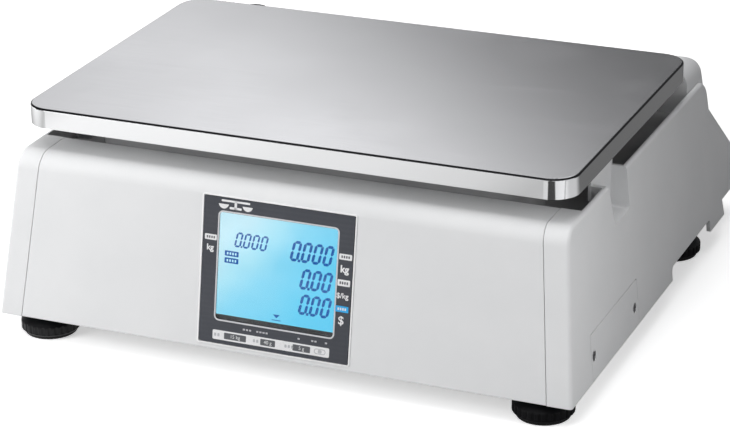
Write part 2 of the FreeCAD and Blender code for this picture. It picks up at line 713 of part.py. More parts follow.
save("weigh_platform", weigh_platform_shape())
pads = []
stops = []
for sx in (-1, 1):
    for sy in (-1, 1):
        pad = rod(sx * POST_X, PAN_Y + sy * POST_Y, 130, PAN_TOP_H - PAN_SHEET, 10)
        pads.append(pad.makeFillet(1.5, [e for e in pad.Edges if e.BoundBox.ZMin > LIFT + 137]))
        spot = (sx * STOP_REACH[0], PAN_Y + sy * STOP_REACH[1])
        bolt = rod(*spot, 4, CELL_TOP_H + 9, 2.95).fuse(rod(*spot, 1.6, 4.9, 5))
        stops.append(bolt.fuse(rod(*spot, 8.1, 13, 6)))
save("pan_pads", Part.makeCompound(pads))
save("overload_stops", Part.makeCompound(stops))


def pan_shape():
    pan = upright(rectangle(0, PAN_Y, PAN_WIDTH, PAN_DEPTH, PAN_CORNER), PAN_TOP_H - PAN_SKIRT, PAN_TOP_H)
    pan = round_edges(pan, 1.4, lambda b, e: b.ZMin > LIFT + PAN_TOP_H - 0.1)
    inner = upright(
        rectangle(0, PAN_Y, PAN_WIDTH - 2 * PAN_SHEET, PAN_DEPTH - 2 * PAN_SHEET, PAN_CORNER - PAN_SHEET),
        PAN_TOP_H - PAN_SKIRT - 5,
        PAN_TOP_H - PAN_SHEET,
    )
    return pan.cut(inner)


save("platter", pan_shape())

# ---- electronics in the base ---------------------------------------------------------------------
tray_frame = FreeCAD.Placement(V(0, 0, LIFT + 8), FreeCAD.Rotation())
main_parts = [
    (-20, 5, 24, 24, 2.4),
    (25, 18, 14, 10, 2),
    (45, -20, 12, 20, 8),
    (-55, -25, 30, 8, 9),
    (10, -28, 40, 7, 8),
    (60, 20, 10, 10, 6),
]
board = circuit_board(52, 132, 160, 72, 6, main_parts)
standoffs = [disc(52 + sx * 75, 132 + sy * 31, 0, 6, 3) for sx in (-1, 1) for sy in (-1, 1)]
save("main_board", set_on(together([board] + standoffs), tray_frame))
power_parts = [(-18, 0, 34, 40, 18), (15, 12, 14, 14, 20), (18, -14, 12, 12, 16)]
board = circuit_board(-112, 142, 78, 56, 6, power_parts)
standoffs = [disc(-112 + sx * 34, 142 + sy * 23, 0, 6, 3) for sx in (-1, 1) for sy in (-1, 1)]
save("power_board", set_on(together([board] + standoffs), tray_frame))


# Flat cables lie above the tray's ribs; the long one turns up to the customer's display.
front_ribbon = along_x(
    [
        (92, 13.1, 0),
        (-164.4, 13.1, 3.4),
        (-164.4, 40, 0),
        (-163.6, 40, 0),
        (-163.6, 13.9, 2.6),
        (92, 13.9, 0),
    ],
    8,
    24,
)
cell_lead = block(-26, -20, -28, 92, 13.1, 13.9)
save("ribbon_cables", Part.makeCompound([front_ribbon, cell_lead]))
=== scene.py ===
"""The looks of a counter-top price scale: its materials, prints, displays and legends, set round its
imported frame. Lengths are metres, but art that is laid on a panel is in millimetres, because each
panel's place matrix carries the scale. The customer's side faces -Y and the operator's side +Y."""

import math

import bmesh
import bpy
from mathutils import Matrix, Vector


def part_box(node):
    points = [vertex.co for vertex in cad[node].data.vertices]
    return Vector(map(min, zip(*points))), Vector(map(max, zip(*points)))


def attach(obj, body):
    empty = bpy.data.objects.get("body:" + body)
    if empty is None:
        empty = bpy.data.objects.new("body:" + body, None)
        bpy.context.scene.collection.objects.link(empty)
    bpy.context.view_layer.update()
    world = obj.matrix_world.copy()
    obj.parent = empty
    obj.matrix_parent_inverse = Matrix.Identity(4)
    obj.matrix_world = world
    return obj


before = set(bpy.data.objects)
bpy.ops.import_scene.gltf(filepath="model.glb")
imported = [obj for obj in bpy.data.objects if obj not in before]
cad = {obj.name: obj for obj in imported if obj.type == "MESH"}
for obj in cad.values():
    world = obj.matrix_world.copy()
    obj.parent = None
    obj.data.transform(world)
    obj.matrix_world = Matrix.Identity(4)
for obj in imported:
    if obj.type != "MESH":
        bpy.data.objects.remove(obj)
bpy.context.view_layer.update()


# ---- Housing ------------------------------------------------------------------------------------
# Two side panels, the front panel, the access cover and the operator's console are light grey
# moulded ABS with a fine spark-eroded grain. They meet at open seams and clip to each other.
def add(tree, kind, sockets=None, **settings):
    """One shader node; a socket's value is a constant or the output that is joined to it."""
    made = tree.nodes.new("ShaderNode" + kind)
    for key, value in settings.items():
        setattr(made, key, value)
    for key, value in (sockets or {}).items():
        if isinstance(value, bpy.types.NodeSocket):
            tree.links.new(value, made.inputs[key])
        else:
            made.inputs[key].default_value = value
    return made


def shade_between(tree, factor, first, second):
    """A colour that runs from first to second as factor goes from 0 to 1."""
    made = tree.nodes.new("ShaderNodeMix")
    made.data_type = "RGBA"
    tree.links.new(factor, made.inputs[0])
    for socket, value in ((made.inputs[6], first), (made.inputs[7], second)):
        if isinstance(value, bpy.types.NodeSocket):
            tree.links.new(value, socket)
        else:
            socket.default_value = (*value, 1)
    return made.outputs[2]


def spread(tree, value, low, high, to_low=0.0, to_high=1.0):
    """Takes a value's range to another range, clamped at both ends."""
    sockets = {"Value": value, 1: low, 2: high, 3: to_low, 4: to_high}
    return add(tree, "MapRange", sockets).outputs[0]


def product(tree, first, second):
    """The product of two values."""
    return add(tree, "Math", {0: first, 1: second}, operation="MULTIPLY").outputs[0]


def raise_skin(tree, shader, height, depth, strength, normal=None):
    """Gives a material its small relief, over a normal that is already softened if there is one."""
    sockets = {"Height": height, "Distance": depth, "Strength": strength}
    if normal:
        sockets["Normal"] = normal
    tree.links.new(add(tree, "Bump", sockets).outputs[0], shader.inputs["Normal"])


def ramp_of(tree, factor, stops):
    """A colour ramp with the given stops, each a position and a colour."""
    made = tree.nodes.new("ShaderNodeValToRGB")
    tree.links.new(factor, made.inputs["Fac"])
    elements = made.color_ramp.elements
    while len(elements) < len(stops):
        elements.new(0.5)
    for stop, (position, colour) in zip(elements, stops):
        stop.position = position
        stop.color = (*colour, 1)
    return made.outputs["Color"]


def shader_group(name, inputs, outputs):
    """An empty node group with named float inputs and outputs of the given socket types."""
    group = bpy.data.node_groups.new(name, "ShaderNodeTree")
    for key, value in inputs.items():
        socket = group.interface.new_socket(key, in_out="INPUT", socket_type="NodeSocketFloat")
        socket.default_value = value
    for key, kind in outputs.items():
        group.interface.new_socket(key, in_out="OUTPUT", socket_type="NodeSocket" + kind)
    return group, group.nodes.new("NodeGroupInput").outputs, group.nodes.new("NodeGroupOutput").inputs


def moulded_skin_group():
    """A mould's eroded grain as a height, and the faint cloudiness of thick plastic as a mask."""
    group, given, out = shader_group(
        "moulded_skin", {"Grain": 2600.0, "Clouds": 22.0}, {"Height": "Float", "Cloud": "Float"}
    )
    place = add(group, "TexCoord").outputs["Object"]
    pits = add(group, "TexVoronoi", {"Vector": place, "Scale": given["Grain"]}, feature="SMOOTH_F1")
    fine = add(group, "TexNoise", {"Vector": place, "Scale": given["Grain"], "Detail": 2.0})
    both = add(group, "Math", {0: pits.outputs["Distance"], 1: fine.outputs["Fac"]}, operation="ADD")
    cloud = add(group, "TexNoise", {"Vector": place, "Scale": given["Clouds"], "Detail": 4.0})
    group.links.new(both.outputs[0], out["Height"])
    group.links.new(spread(group, cloud.outputs["Fac"], 0.35, 0.65), out["Cloud"])
    return group


def worn_edge_group():
    """Rounds every sharp edge for the light and masks where hands rub it bright."""
    group, given, out = shader_group(
        "worn_edge", {"Radius": 0.0006, "Breakup": 90.0}, {"Normal": "Vector", "Wear": "Float"}
    )
    soft = group.nodes.new("ShaderNodeBevel")
    soft.samples = 6
    group.links.new(given["Radius"], soft.inputs["Radius"])
    flat = add(group, "NewGeometry").outputs["Normal"]
    meet = group.nodes.new("ShaderNodeVectorMath")
    meet.operation = "DOT_PRODUCT"
    group.links.new(soft.outputs[0], meet.inputs[0])
    group.links.new(flat, meet.inputs[1])
    edge = spread(group, meet.outputs["Value"], 0.99, 0.86)
    place = add(group, "TexCoord").outputs["Object"]
    patch = add(group, "TexNoise", {"Vector": place, "Scale": given["Breakup"], "Detail": 3.0})
    rubbed = spread(group, patch.outputs["Fac"], 0.42, 0.62)
    group.links.new(soft.outputs[0], out["Normal"])
    group.links.new(product(group, edge, rubbed), out["Wear"])
    return group


def handled_group():
    """Finger smears on every face and a trace of dust where a face looks up."""
    group, given, out = shader_group(
        "handled", {"Smears": 14.0}, {"Smear": "Float", "Dust": "Float"}
    )
    place = add(group, "TexCoord").outputs["Object"]
    stretched = add(group, "Mapping", {"Vector": place, "Scale": (1.0, 1.6, 0.7)})
    bands = add(
        group,
        "TexNoise",
        {"Vector": stretched.outputs[0], "Scale": given["Smears"], "Detail": 5.0, "Distortion": 1.4},
    )
    specks = add(group, "TexNoise", {"Vector": place, "Scale": 900.0, "Detail": 2.0})
    up = add(group, "SeparateXYZ", {0: add(group, "NewGeometry").outputs["Normal"]}).outputs["Z"]
    lying = product(group, spread(group, up, 0.5, 1.0), spread(group, specks.outputs["Fac"], 0.5, 0.8))
    group.links.new(spread(group, bands.outputs["Fac"], 0.5, 0.72), out["Smear"])
    group.links.new(lying, out["Dust"])
    return group


moulded_skin = moulded_skin_group()
worn_edge = worn_edge_group()
handled = handled_group()


def place_group(tree, group, **values):
    """A node that uses a group, with its given inputs set; returns the node's outputs."""
    made = tree.nodes.new("ShaderNodeGroup")
    made.node_tree = group
    for key, value in values.items():
        made.inputs[key].default_value = value
    return made.outputs


def fresh_material(name):
    """A new material, its node tree and its main shader."""
    made = bpy.data.materials.new(name)
    made.use_nodes = True
    return made, made.node_tree, made.node_tree.nodes["Principled BSDF"]


def moulded_plastic(name, colour, deep, rough=0.42, grain=2600.0, depth=0.00003, edge=0.0006, gloss=0.5):
    """Injection moulded plastic: grain, faint clouds, rubbed edges, finger smears and dust."""
    made, tree, shader = fresh_material(name)
    skin = place_group(tree, moulded_skin, Grain=grain)
    worn = place_group(tree, worn_edge, Radius=edge)
    touched = place_group(tree, handled)
    body = shade_between(tree, skin["Cloud"], deep, colour)
    pale = tuple(1 - (1 - c) * 0.72 for c in colour)
    rubbed = shade_between(tree, spread(tree, worn["Wear"], 0, 1, 0, 0.55), body, pale)
    dusty = shade_between(tree, spread(tree, touched["Dust"], 0, 1, 0, 0.14), rubbed, (0.62, 0.60, 0.56))
    tree.links.new(dusty, shader.inputs["Base Color"])
    polished = spread(tree, touched["Smear"], 0, 1, rough, rough - 0.09)
    tree.links.new(polished, shader.inputs["Roughness"])
    raise_skin(tree, shader, skin["Height"], depth, 0.5, worn["Normal"])
    shader.inputs["Specular IOR Level"].default_value = gloss
    return made


def dress(material, *names):
    """Gives CAD nodes their finish."""
    for name in names:
        cad[name].material_slots[0].material = material


housing_plastic = moulded_plastic("housing_plastic", (0.80, 0.805, 0.81), (0.775, 0.782, 0.788), 0.46)
dress(housing_plastic, "left_side_panel", "right_side_panel", "front_panel", "side_cover", "console_shell")


# ---- Deck under the pan -------------------------------------------------------------------------
# A moulded deck closes the housing round the four weighing posts. It is light grey ABS like the
# housing, with a coarser grain, but its colour is darkened to mid grey as painted shade for the
# pan's shadow. The pan also shades it, so the gap under the pan darkens from its open end to its far end.
# Painted shade: the deck's mid grey stands for the pan's shadow; its own colour is the housing's light
# grey.
deck_plastic = moulded_plastic("deck_plastic", (0.33, 0.33, 0.335), (0.29, 0.29, 0.295), 0.5, depth=0.00004)
dress(deck_plastic, "top_deck")


# ---- Weighing pan -------------------------------------------------------------------------------
# One deep-drawn stainless sheet. Its top is ground along the long side and satin; the folded skirt
# and the four drawn corners are polished. A fine dark line is painted on the bend between them as a
# painted dark reflection.
def brushed_group():
    """Grinding lines along X as a height, and their uneven shine as a mask."""
    group, given, out = shader_group(
        "brushed", {"Across": 2400.0, "Along": 18.0}, {"Height": "Float", "Shine": "Float"}
    )
    place = add(group, "TexCoord").outputs["Object"]
    scale = add(group, "CombineXYZ", {0: given["Along"], 1: given["Across"], 2: given["Across"]})
    pulled = group.nodes.new("ShaderNodeVectorMath")
    pulled.operation = "MULTIPLY"
    group.links.new(place, pulled.inputs[0])
    group.links.new(scale.outputs[0], pulled.inputs[1])
    streaks = {"Vector": pulled.outputs[0], "Scale": 1.0, "Detail": 4.0, "Roughness": 0.7}
    lines = add(group, "TexNoise", streaks)
    patches = add(group, "TexNoise", {"Vector": place, "Scale": 9.0, "Detail": 3.0})
    group.links.new(lines.outputs["Fac"], out["Height"])
    shine = product(group, lines.outputs["Fac"], patches.outputs["Fac"])
    group.links.new(spread(group, shine, 0.15, 0.38), out["Shine"])
    return group


brushed = brushed_group()


def stainless_pan():
    """Satin ground top, polished skirt, and a painted dark reflection where the sheet turns down."""
    made, tree, shader = fresh_material("stainless_pan")
    shader.inputs["Metallic"].default_value = 1.0
    lines = place_group(tree, brushed)
    touched = place_group(tree, handled, Smears=9.0)
    up = add(tree, "SeparateXYZ", {0: add(tree, "NewGeometry").outputs["Normal"]}).outputs["Z"]
    top = spread(tree, up, 0.93, 0.995)
    steel = shade_between(tree, lines["Shine"], (0.82, 0.825, 0.835), (0.87, 0.875, 0.885))
    sheet = shade_between(tree, top, (0.82, 0.825, 0.83), steel)
    # Painted dark reflection: a near-black line on the rounded bend between the top and the skirt.
    bend = product(tree, spread(tree, up, 0.1, 0.35), spread(tree, up, 0.985, 0.90))
    sheet_with_dark_reflection = shade_between(tree, bend, sheet, (0.07, 0.07, 0.075))
    tree.links.new(sheet_with_dark_reflection, shader.inputs["Base Color"])
    satin = spread(tree, lines["Shine"], 0, 1, 0.145, 0.115)
    smear = spread(tree, touched["Smear"], 0, 1, 0, 0.03)
    smeared = add(tree, "Math", {0: satin, 1: smear}, operation="ADD").outputs[0]
    blurred = spread(tree, product(tree, top, smeared), 0, 0.2, 0.075, 0.2)
    tree.links.new(blurred, shader.inputs["Roughness"])
    raise_skin(tree, shader, product(tree, lines["Height"], top), 0.00001, 0.35)
    return made


dress(stainless_pan(), "platter")


# ---- Customer's bezel ---------------------------------------------------------------------------
# A slate overlay printed from behind sits in the front panel's recess, inside a thin lip that is
# near white as a painted highlight.
# Unit signs, tags and a strip are printed on it in white and blue, each a film of ink.
FRONT_LEAN = math.radians(10.2)
front_out = Vector((0, -math.cos(FRONT_LEAN), math.sin(FRONT_LEAN)))


def on_panel(node, across, out):
    """Lays art in millimetres on a panel: x across, y up and z out from the middle of a node."""
    low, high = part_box(node)
    up = out.cross(across)
    place = Matrix((across, up, out)).transposed().to_4x4() @ Matrix.Scale(0.001, 4)
    place.translation = (low + high) / 2
    return place


def rounded_face(bm, x, y, width, height, corner):
    """A flat face with rounded corners, and the faces it is made of."""
    made = bmesh.ops.create_grid(bm, x_segments=1, y_segments=1, size=0.5)
    bmesh.ops.scale(bm, vec=(width, height, 1), verts=made["verts"])
    bmesh.ops.translate(bm, vec=(x, y, 0), verts=made["verts"])
    bevelled = bmesh.ops.bevel(
        bm,
        geom=made["verts"],
        offset=corner,
        offset_type="OFFSET",
        segments=6,
        profile=0.5,
        affect="VERTICES",
        material=-1,
    )
    verts = set(bevelled["verts"])
    return [f for f in bm.faces if set(f.verts) <= verts]


def raise_faces(bm, faces, low, high):
    """Turns flat faces at z 0 into a solid between two heights."""
    verts = {v for f in faces for v in f.verts}
    bmesh.ops.translate(bm, vec=(0, 0, low), verts=list(verts))
    grown = bmesh.ops.extrude_face_region(bm, geom=faces, use_keep_orig=True)
    lifted = [v for v in grown["geom"] if isinstance(v, bmesh.types.BMVert)]
    bmesh.ops.translate(bm, vec=(0, 0, high - low), verts=lifted)


def tile(bm, x, y, width, height, corner, low, high):
    """A small slab with rounded corners."""
    raise_faces(bm, rounded_face(bm, x, y, width, height, corner), low, high)


def band(bm, x, y, width, height, corner, wide, low, high):
    """A rounded frame, wide across its band, inside the given size."""
    inner = rounded_face(bm, x, y, width, height, corner)
    ring = bmesh.ops.inset_region(
        bm, faces=inner, thickness=wide, use_boundary=True, use_even_offset=True
    )["faces"]
    bmesh.ops.delete(bm, geom=inner, context="FACES_ONLY")
    raise_faces(bm, ring, low, high)


SIZE_OVER_CAPITAL = 1.37


def letter(bm, text, x, y, height, low, high, weight=0.0):
    """Lettering of one capital height, centred on a point and raised between two heights."""
    curve = bpy.data.curves.new("lettering", "FONT")
    curve.body = text
    curve.size = height * SIZE_OVER_CAPITAL
    curve.align_x = "CENTER"
    curve.align_y = "CENTER"
    curve.extrude = (high - low) / 2
    curve.offset = weight
    curve.resolution_u = 4
    holder = bpy.data.objects.new("lettering", curve)
    mesh = bpy.data.meshes.new_from_object(holder)
    mesh.transform(Matrix.Translation((x, y, (low + high) / 2)))
    bm.from_mesh(mesh)
    bpy.data.objects.remove(holder)
    bpy.data.curves.remove(curve)
    bpy.data.meshes.remove(mesh)


def piece(bm, name, place, body, material, smooth=30):
    """Puts a finished mesh in its place, gives it its finish, and makes it ride a body."""
    bmesh.ops.remove_doubles(bm, verts=bm.verts, dist=0.0002)
    bmesh.ops.recalc_face_normals(bm, faces=bm.faces)
    bmesh.ops.transform(bm, matrix=place, verts=bm.verts)
    mesh = bpy.data.meshes.new(name)
    bm.to_mesh(mesh)
    bm.free()
    mesh.shade_smooth()
    mesh.set_sharp_from_angle(angle=math.radians(smooth))
    mesh.materials.append(material)
    made = bpy.data.objects.new(name, mesh)
    bpy.context.scene.collection.objects.link(made)
    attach(made, body)


def bezel_slate():
    """Back-printed film: slate ink with a faint screen pattern under a smooth glossy face."""
    made, tree, shader = fresh_material("bezel_slate")
    place = add(tree, "TexCoord").outputs["Object"]
    screen = add(tree, "TexVoronoi", {"Vector": place, "Scale": 1700.0, "Randomness": 0.25})
    clouds = add(tree, "TexNoise", {"Vector": place, "Scale": 35.0, "Detail": 3.0})
    dots = product(tree, screen.outputs["Distance"], clouds.outputs["Fac"])
    light = spread(tree, dots, 0.1, 0.5)
    ink = shade_between(tree, light, (0.040, 0.044, 0.056), (0.055, 0.060, 0.073))
    tree.links.new(ink, shader.inputs["Base Color"])
    touched = place_group(tree, handled, Smears=30.0)
    tree.links.new(spread(tree, touched["Smear"], 0, 1, 0.16, 0.24), shader.inputs["Roughness"])
    worn = place_group(tree, worn_edge, Radius=0.0004)
    tree.links.new(worn["Normal"], shader.inputs["Normal"])
    return made


def printed_ink(name, colour, rough=0.38):
    """Screen-printed ink: a solid colour with pinholes and a slightly uneven gloss."""
    made, tree, shader = fresh_material(name)
    place = add(tree, "TexCoord").outputs["Object"]
    grain = add(tree, "TexNoise", {"Vector": place, "Scale": 2200.0, "Detail": 2.0}).outputs["Fac"]
    thin = tuple(c * 0.86 for c in colour)
    laid = shade_between(tree, spread(tree, grain, 0.3, 0.55), thin, colour)
    tree.links.new(laid, shader.inputs["Base Color"])
    tree.links.new(spread(tree, grain, 0.3, 0.7, rough + 0.08, rough - 0.05), shader.inputs["Roughness"])
    return made


dress(bezel_slate(), "customer_bezel")
white_ink = printed_ink("white_ink", (0.86, 0.86, 0.87))
blue_ink = printed_ink("blue_ink", (0.03, 0.42, 0.86))
grey_ink = printed_ink("grey_ink", (0.11, 0.115, 0.125))

front = on_panel("customer_bezel", Vector((1, 0, 0)), front_out)
BEZEL = (104.6, 96.4)
BEZEL_FACE = 0.75
WINDOW_AT = (0.1, 3.3)
WINDOW = (82.0, 70.4)
INK = (BEZEL_FACE - 0.02, BEZEL_FACE + 0.05)

bm = bmesh.new()
band(bm, 0, 0, BEZEL[0] + 2.6, BEZEL[1] + 2.6, 1.6, 0.95, -0.05, 0.62)
# Painted highlight: the lip is near white, brighter than the housing, standing for the recess edge's shine.
lip_painted_highlight = moulded_plastic("lip_painted_highlight", (0.97, 0.97, 0.97), (0.95, 0.95, 0.955), 0.3, edge=0.0003)
piece(bm, "bezel_lip", front, "base", lip_painted_highlight)

bm = bmesh.new()
band(bm, *WINDOW_AT, WINDOW[0] + 2.4, WINDOW[1] + 2.4, 3.4, 1.0, INK[0], INK[1])
piece(bm, "window_line", front, "base", printed_ink("line_ink", (0.66, 0.66, 0.68)))

# Unit signs beside the rows, each under a tag with a short rule in it.
bm = bmesh.new()
letter(bm, "kg", -46.9, 14.4, 4.0, *INK, 0.16)
letter(bm, "kg", 46.9, 13.4, 4.7, *INK, 0.2)
letter(bm, "$/kg", 46.4, -3.9, 3.5, *INK, 0.08)
letter(bm, "$", 46.3, -20.1, 5.6, *INK, 0.1)
TAGS = ((-46.7, 21.3, 8.4, 3.7), (47.2, 21.5, 8.8, 3.8), (46.9, 4.6, 8.6, 4.2))
for x, y, width, height in TAGS:
    tile(bm, x, y, width, height, 0.5, *INK)
piece(bm, "unit_signs", front, "base", white_ink)
bm = bmesh.new()
OVER = (INK[1] - 0.02, INK[1] + 0.03)
for x, y, width, height in TAGS:
    for step in range(4):
        tile(bm, x + (step - 1.5) * 1.6, y, 1.0, height * 0.42, 0.15, *OVER)
piece(bm, "tag_marks", front, "base", grey_ink)

bm = bmesh.new()
tile(bm, 46.5, -12.4, 9.0, 4.0, 0.5, *INK)
piece(bm, "total_tag", front, "base", blue_ink)
bm = bmesh.new()
for step in range(4):
    tile(bm, 46.5 + (step - 1.5) * 1.6, -12.4, 1.0, 1.7, 0.15, *OVER)
piece(bm, "total_tag_marks", front, "base", white_ink)

# A plain balance sign at the top, and small marks in a row under the window.
bm = bmesh.new()
tile(bm, -30.2, 43.9, 1.7, 5.6, 0.2, *INK)
tile(bm, -30.2, 41.9, 8.4, 1.5, 0.4, *INK)
tile(bm, -30.2, 46.3, 20.0, 1.3, 0.4, *INK)
for side in (-1, 1):
    bowl = bmesh.ops.create_circle(bm, cap_ends=True, radius=3.6, segments=24)
    bmesh.ops.translate(bm, vec=(-30.2 + side * 8.4, 44.6, 0), verts=bowl["verts"])
    geometry = [f for f in bm.faces if set(f.verts) <= set(bowl["verts"])]
    geometry += list({e for v in bowl["verts"] for e in v.link_edges}) + bowl["verts"]
    halved = bmesh.ops.bisect_plane(
        bm, geom=geometry, plane_co=(0, 44.0, 0), plane_no=(0, 1, 0), clear_outer=True
    )
    half = [f for f in halved["geom"] if isinstance(f, bmesh.types.BMFace)]
    raise_faces(bm, half, *INK)
piece(bm, "balance_sign", front, "base", white_ink)

bm = bmesh.new()
for x, count in ((-20.5, 3), (-11.0, 4), (18.0, 1), (27.5, 2), (37.0, 1)):
    for step in range(count):
        tile(bm, x + step * 2.2, -36.3, 1.5, 1.1, 0.2, *INK)
piece(bm, "indicator_marks", front, "base", printed_ink("mark_ink", (0.50, 0.50, 0.53)))

STRIP_Y = -42.5
bm = bmesh.new()
tile(bm, -1.5, STRIP_Y, 82.0, 6.3, 0.9, *INK)
piece(bm, "range_strip", front, "base", white_ink)
bm = bmesh.new()
for x, width in ((-26.5, 15.6), (-3.4, 10.4), (20.2, 12.2)):
    tile(bm, x, STRIP_Y, width, 4.2, 0.5, *OVER)
piece(bm, "range_boxes", front, "base", grey_ink)
bm = bmesh.new()
ABOVE = (OVER[1] - 0.02, OVER[1] + 0.03)
for x, text in ((-26.5, "15 kg"), (-3.4, "40 g"), (20.2, "5 g")):
    letter(bm, text, x, STRIP_Y, 2.4, *ABOVE)
piece(bm, "range_figures", front, "base", white_ink)
bm = bmesh.new()
for x, count in ((-40.6, 2), (-13.0, 2), (9.2, 3)):
    for step in range(count):
        tile(bm, x + step * 2.3, STRIP_Y, 1.5, 2.0, 0.4, *OVER)
band(bm, 33.0, STRIP_Y, 8.0, 3.6, 1.7, 0.5, *OVER)
tile(bm, 33.0, STRIP_Y, 2.6, 2.2, 0.6, *OVER)
piece(bm, "range_glyphs", front, "base", printed_ink("pale_ink", (0.52, 0.53, 0.55)))


# ---- Windows ------------------------------------------------------------------------------------
# Each display looks out through a cast acrylic window, glued into its overlay. It is clear, with a
# hard coat, and smears more readily than it scratches.
def clear_acrylic():
    """Clear sheet with a faint tint and finger smears."""
    made, tree, shader = fresh_material("clear_acrylic")
    shader.inputs["Transmission Weight"].default_value = 1.0
    shader.inputs["IOR"].default_value = 1.36
    touched = place_group(tree, handled, Smears=26.0)
    tint = shade_between(tree, touched["Smear"], (0.97, 0.985, 0.99), (0.95, 0.965, 0.975))
    tree.links.new(tint, shader.inputs["Base Color"])
    tree.links.new(spread(tree, touched["Smear"], 0, 1, 0.015, 0.05), shader.inputs["Roughness"])
    return made


dress(clear_acrylic(), "customer_lens", "operator_lens")


# ---- Displays -----------------------------------------------------------------------------------
# Two backlit liquid-crystal panels. The light guide is fed from one upper corner, so the pale blue
# field is brightest there. Dark segments float on the glass; a black card along the customer's lower
# edge is painted shade.
def lit_glass(name, corner, far):
    """A backlit field that fades from the corner where its lamps sit to the far corner."""
    made, tree, shader = fresh_material(name)
    place = add(tree, "TexCoord").outputs["Object"]
    run = Vector(far) - Vector(corner)
    from_corner = add(tree, "VectorMath", {0: place, 1: tuple(corner)}, operation="SUBTRACT").outputs[0]
    step = tuple(run / run.length_squared)
    along = add(tree, "VectorMath", {0: from_corner, 1: step}, operation="DOT_PRODUCT")
    clouds = add(tree, "TexNoise", {"Vector": place, "Scale": 28.0, "Detail": 2.0}).outputs["Fac"]
    uneven = add(tree, "Math", {0: spread(tree, clouds, 0.2, 0.8, -0.05, 0.05), 1: along.outputs["Value"]})
    shades = (
        (0.0, (0.52, 0.80, 0.91)),
        (0.18, (0.57, 0.83, 0.92)),
        (0.32, (0.40, 0.77, 0.90)),
        (0.46, (0.22, 0.66, 0.87)),
        (0.70, (0.11, 0.60, 0.86)),
        (1.0, (0.08, 0.56, 0.84)),
    )
    tree.links.new(ramp_of(tree, uneven.outputs[0], shades), shader.inputs["Emission Color"])
    shader.inputs["Emission Strength"].default_value = 1.0
    shader.inputs["Specular IOR Level"].default_value = 0.1
    shader.inputs["Base Color"].default_value = (0.02, 0.05, 0.07, 1)
    cells = add(tree, "TexNoise", {"Vector": place, "Scale": 3000.0}).outputs["Fac"]
    tree.links.new(spread(tree, cells, 0.3, 0.7, 0.25, 0.35), shader.inputs["Roughness"])
    return made


def segment_ink():
    """A dark segment of the liquid crystal: deep blue, lit a little from behind."""
    made, tree, shader = fresh_material("segment_ink")
    place = add(tree, "TexCoord").outputs["Object"]
    cells = add(tree, "TexNoise", {"Vector": place, "Scale": 1500.0, "Detail": 1.0}).outputs["Fac"]
    depth = shade_between(tree, cells, (0.0, 0.07, 0.30), (0.0, 0.09, 0.37))
    tree.links.new(depth, shader.inputs["Emission Color"])
    body = shade_between(tree, cells, (0.001, 0.02, 0.07), (0.001, 0.03, 0.10))
    tree.links.new(body, shader.inputs["Base Color"])
    shader.inputs["Emission Strength"].default_value = 1.0
    shader.inputs["Specular IOR Level"].default_value = 0.0
    shader.inputs["Roughness"].default_value = 0.4
    return made


segment_blue = segment_ink()
SLANT = math.tan(math.radians(12))


def segment(bm, x, y, length, stroke, upright, low, high):
    """One pointed bar of a digit."""
    half = length / 2
    tip = stroke / 2
    end = half - tip
    corners = [(-half, 0), (-end, tip), (end, tip), (half, 0), (end, -tip), (-end, -tip)]
    if upright:
        corners = [(-b, a) for a, b in corners]
    verts = [bm.verts.new((x + a, y + b, 0)) for a, b in corners]
    raise_faces(bm, [bm.faces.new(verts)], low, high)


BAR_GAP = 0.25


def zero(bm, x, y, width, height, stroke, low, high):
    """A nought of six bars with its lower left corner at a point; it has no middle bar."""
    across = width - stroke
    tall = (height - stroke) / 2
    left = x + stroke / 2
    for level in (0, 2):
        middle = y + stroke / 2 + level * tall
        segment(bm, left + across / 2, middle, across - BAR_GAP, stroke, False, low, high)
    for side in (0, 1):
        for level in (0, 1):
            middle = y + stroke / 2 + (level + 0.5) * tall
            segment(bm, left + side * across, middle, tall - BAR_GAP, stroke, True, low, high)


def reading(bm, right, y, digits, point, width, height, pitch, stroke, low, high):
    """A row of noughts that ends at right, with its decimal point after one of them."""
    start = len(bm.verts)
    for i in range(digits):
        x = right - width - (digits - 1 - i) * pitch
        zero(bm, x, y, width, height, stroke, low, high)
        if i == point:
            dot = stroke * 0.95
            tile(bm, x + (width + pitch) / 2, y + stroke * 0.45, dot, dot, 0.2, low, high)
    bm.verts.ensure_lookup_table()
    for vert in bm.verts[start:]:
        vert.co.x += (vert.co.y - y) * SLANT


low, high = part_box("customer_lcd")
customer_field = lit_glass("customer_field", (low.x, low.y, high.z), (high.x, low.y, low.z))
dress(customer_field, "customer_lcd")
glass = on_panel("customer_lcd", Vector((1, 0, 0)), front_out)
LCD_FACE = 1.4
LIT = (LCD_FACE - 0.02, LCD_FACE + 0.03)

bm = bmesh.new()
for y, digits in ((9.4, 4), (-8.0, 3), (-24.6, 3)):
    reading(bm, 35.6, y, digits, 0, 6.2, 13.6, 7.5, 1.85, *LIT)
reading(bm, -9.6, 12.8, 4, 0, 4.7, 10.0, 5.9, 1.25, *LIT)
pointer = [bm.verts.new((x, y, 0)) for x, y in ((-2.3, -27.3), (0.1, -29.6), (2.5, -27.3))]
raise_faces(bm, [bm.faces.new(pointer)], *LIT)
piece(bm, "customer_digits", glass, "base", segment_blue)

bm = bmesh.new()
for y in (3.4, 8.0):
    tile(bm, -33.2, y, 9.8, 3.5, 0.5, *LIT)
tile(bm, 0.1, -31.0, 6.4, 0.5, 0.2, *LIT)
piece(bm, "customer_tags", glass, "base", segment_blue)
bm = bmesh.new()
for y in (3.4, 8.0):
    for step in range(4):
        tile(bm, -33.2 + (step - 1.5) * 1.9, y, 1.1, 1.6, 0.2, LIT[1] - 0.02, LIT[1] + 0.03)
piece(bm, "customer_tag_marks", glass, "base", customer_field)
